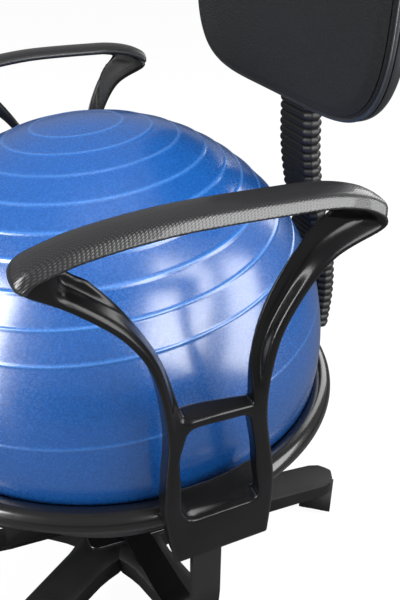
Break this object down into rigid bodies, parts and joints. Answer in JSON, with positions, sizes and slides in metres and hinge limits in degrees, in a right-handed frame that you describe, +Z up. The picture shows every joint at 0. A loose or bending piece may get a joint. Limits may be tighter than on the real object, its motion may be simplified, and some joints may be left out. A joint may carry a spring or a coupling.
{
  "type": "balance ball chair",
  "caption": "Balance ball chair: an inflated ball in a ring on a star base with swivelling casters, open armrests and a height-adjustable padded backrest.",
  "frame": {"origin": "on the floor, under the middle of the whole part's bounding box", "axes": "+Z up; the sitter faces -Y, so the backrest is at +Y; +X is the sitter's left"},
  "size_m": [0.678, 0.6468, 0.9928],
  "materials": {
    "ball_vinyl": "soft glossy vinyl with a pearly glitter and raised ridges",
    "plug_vinyl": "smooth moulded plug",
    "gloss_paint": "gloss black paint on steel",
    "bowl_plastic": "light grey moulded plastic",
    "zinc_steel": "zinc plated",
    "base_plastic": "fine-textured black nylon",
    "hood_plastic": "satin black moulded plastic",
    "wheel_plastic": "hard black caster tread",
    "arm_plastic": "satin charcoal moulded plastic",
    "pad_rubber": "soft pad with a fine diagonal texture",
    "sleeve_rubber": "satin black ribbed sleeve",
    "panel_wood": "pressed board",
    "back_fabric": "fine black woven cloth",
    "shell_plastic": "black moulded plastic"
  },
  "bodies": {
    "frame": {"star_base": "base_plastic", "base_post": "zinc_steel", "base_nut": "zinc_steel", "hub_plate": "gloss_paint", "support_bar_right": "gloss_paint", "support_bar_left": "gloss_paint", "support_bar_front": "gloss_paint", "support_bar_rear": "gloss_paint", "ring_bolt_right": "zinc_steel", "ring_bolt_left": "zinc_steel", "ring_bolt_front": "zinc_steel", "ring_bolt_rear": "zinc_steel", "support_ring": "gloss_paint", "seat_bowl": "bowl_plastic", "arm_frame_left": "arm_plastic", "arm_frame_right": "arm_plastic", "arm_pad_left": "pad_rubber", "arm_pad_right": "pad_rubber", "arm_bolt_left_1": "zinc_steel", "arm_bolt_left_2": "zinc_steel", "arm_bolt_right_1": "zinc_steel", "arm_bolt_right_2": "zinc_steel", "back_bar": "gloss_paint", "back_bar_bellows": "sleeve_rubber", "back_bar_bolt_1": "zinc_steel", "back_bar_bolt_2": "zinc_steel"},
    "ball": {"ball_shell": "ball_vinyl", "ball_plug": "plug_vinyl"},
    "backrest": {"backrest_panel": "panel_wood", "backrest_cushion": "back_fabric", "backrest_shell": "shell_plastic", "backrest_bracket": "gloss_paint", "bracket_screw_left": "zinc_steel", "bracket_screw_right": "zinc_steel"},
    "knob": {"height_knob": "shell_plastic"},
    "caster_1": {"caster_1_stem": "zinc_steel", "caster_1_hood": "hood_plastic", "caster_1_axle": "zinc_steel"},
    "caster_1_inner": {"caster_1_wheel_inner": "wheel_plastic"},
    "caster_1_outer": {"caster_1_wheel_outer": "wheel_plastic"},
    "caster_2": {"caster_2_stem": "zinc_steel", "caster_2_hood": "hood_plastic", "caster_2_axle": "zinc_steel"},
    "caster_2_inner": {"caster_2_wheel_inner": "wheel_plastic"},
    "caster_2_outer": {"caster_2_wheel_outer": "wheel_plastic"},
    "caster_3": {"caster_3_stem": "zinc_steel", "caster_3_hood": "hood_plastic", "caster_3_axle": "zinc_steel"},
    "caster_3_inner": {"caster_3_wheel_inner": "wheel_plastic"},
    "caster_3_outer": {"caster_3_wheel_outer": "wheel_plastic"},
    "caster_4": {"caster_4_stem": "zinc_steel", "caster_4_hood": "hood_plastic", "caster_4_axle": "zinc_steel"},
    "caster_4_inner": {"caster_4_wheel_inner": "wheel_plastic"},
    "caster_4_outer": {"caster_4_wheel_outer": "wheel_plastic"},
    "caster_5": {"caster_5_stem": "zinc_steel", "caster_5_hood": "hood_plastic", "caster_5_axle": "zinc_steel"},
    "caster_5_inner": {"caster_5_wheel_inner": "wheel_plastic"},
    "caster_5_outer": {"caster_5_wheel_outer": "wheel_plastic"}
  },
  "joints": [
    {"name": "ball_lift", "type": "slide", "parent": "frame", "child": "ball", "axis": [0, 0, 1], "range_m": [0, 0.06]},
    {"name": "backrest_height", "type": "slide", "parent": "frame", "child": "backrest", "axis": [0, 0, 1], "range_m": [0, 0.05]},
    {"name": "knob_turn", "type": "hinge", "parent": "backrest", "child": "knob", "pos_m": [0.01311, 0.2, 0.74282], "axis": [0, 1, 0], "range_deg": [0, 360]},
    {"name": "caster_1_swivel", "type": "hinge", "parent": "frame", "child": "caster_1", "pos_m": [0.01311, 0.27846, 0.06], "axis": [0, 0, 1], "continuous": true},
    {"name": "caster_1_inner_roll", "type": "hinge", "parent": "caster_1", "child": "caster_1_inner", "pos_m": [0, 0.28763, 0.02452], "axis": [-0.5736, -0.8192, 0], "continuous": true},
    {"name": "caster_1_outer_roll", "type": "hinge", "parent": "caster_1", "child": "caster_1_outer", "pos_m": [0, 0.28763, 0.02452], "axis": [-0.5736, -0.8192, 0], "continuous": true},
    {"name": "caster_2_swivel", "type": "hinge", "parent": "frame", "child": "caster_2", "pos_m": [-0.28933, 0.05872, 0.06], "axis": [0, 0, 1], "continuous": true},
    {"name": "caster_2_inner_roll", "type": "hinge", "parent": "caster_2", "child": "caster_2_inner", "pos_m": [-0.30244, 0.0679, 0.02452], "axis": [-0.5736, -0.8192, 0], "continuous": true},
    {"name": "caster_2_outer_roll", "type": "hinge", "parent": "caster_2", "child": "caster_2_outer", "pos_m": [-0.30244, 0.0679, 0.02452], "axis": [-0.5736, -0.8192, 0], "continuous": true},
    {"name": "caster_3_swivel", "type": "hinge", "parent": "frame", "child": "caster_3", "pos_m": [-0.17381, -0.29681, 0.06], "axis": [0, 0, 1], "continuous": true},
    {"name": "caster_3_inner_roll", "type": "hinge", "parent": "caster_3", "child": "caster_3_inner", "pos_m": [-0.18692, -0.28763, 0.02452], "axis": [-0.5736, -0.8192, 0], "continuous": true},
    {"name": "caster_3_outer_roll", "type": "hinge", "parent": "caster_3", "child": "caster_3_outer", "pos_m": [-0.18692, -0.28763, 0.02452], "axis": [-0.5736, -0.8192, 0], "continuous": true},
    {"name": "caster_4_swivel", "type": "hinge", "parent": "frame", "child": "caster_4", "pos_m": [0.20002, -0.29681, 0.06], "axis": [0, 0, 1], "continuous": true},
    {"name": "caster_4_inner_roll", "type": "hinge", "parent": "caster_4", "child": "caster_4_inner", "pos_m": [0.18692, -0.28763, 0.02452], "axis": [-0.5736, -0.8192, 0], "continuous": true},
    {"name": "caster_4_outer_roll", "type": "hinge", "parent": "caster_4", "child": "caster_4_outer", "pos_m": [0.18692, -0.28763, 0.02452], "axis": [-0.5736, -0.8192, 0], "continuous": true},
    {"name": "caster_5_swivel", "type": "hinge", "parent": "frame", "child": "caster_5", "pos_m": [0.31554, 0.05872, 0.06], "axis": [0, 0, 1], "continuous": true},
    {"name": "caster_5_inner_roll", "type": "hinge", "parent": "caster_5", "child": "caster_5_inner", "pos_m": [0.30244, 0.0679, 0.02452], "axis": [-0.5736, -0.8192, 0], "continuous": true},
    {"name": "caster_5_outer_roll", "type": "hinge", "parent": "caster_5", "child": "caster_5_outer", "pos_m": [0.30244, 0.0679, 0.02452], "axis": [-0.5736, -0.8192, 0], "continuous": true}
  ]
}
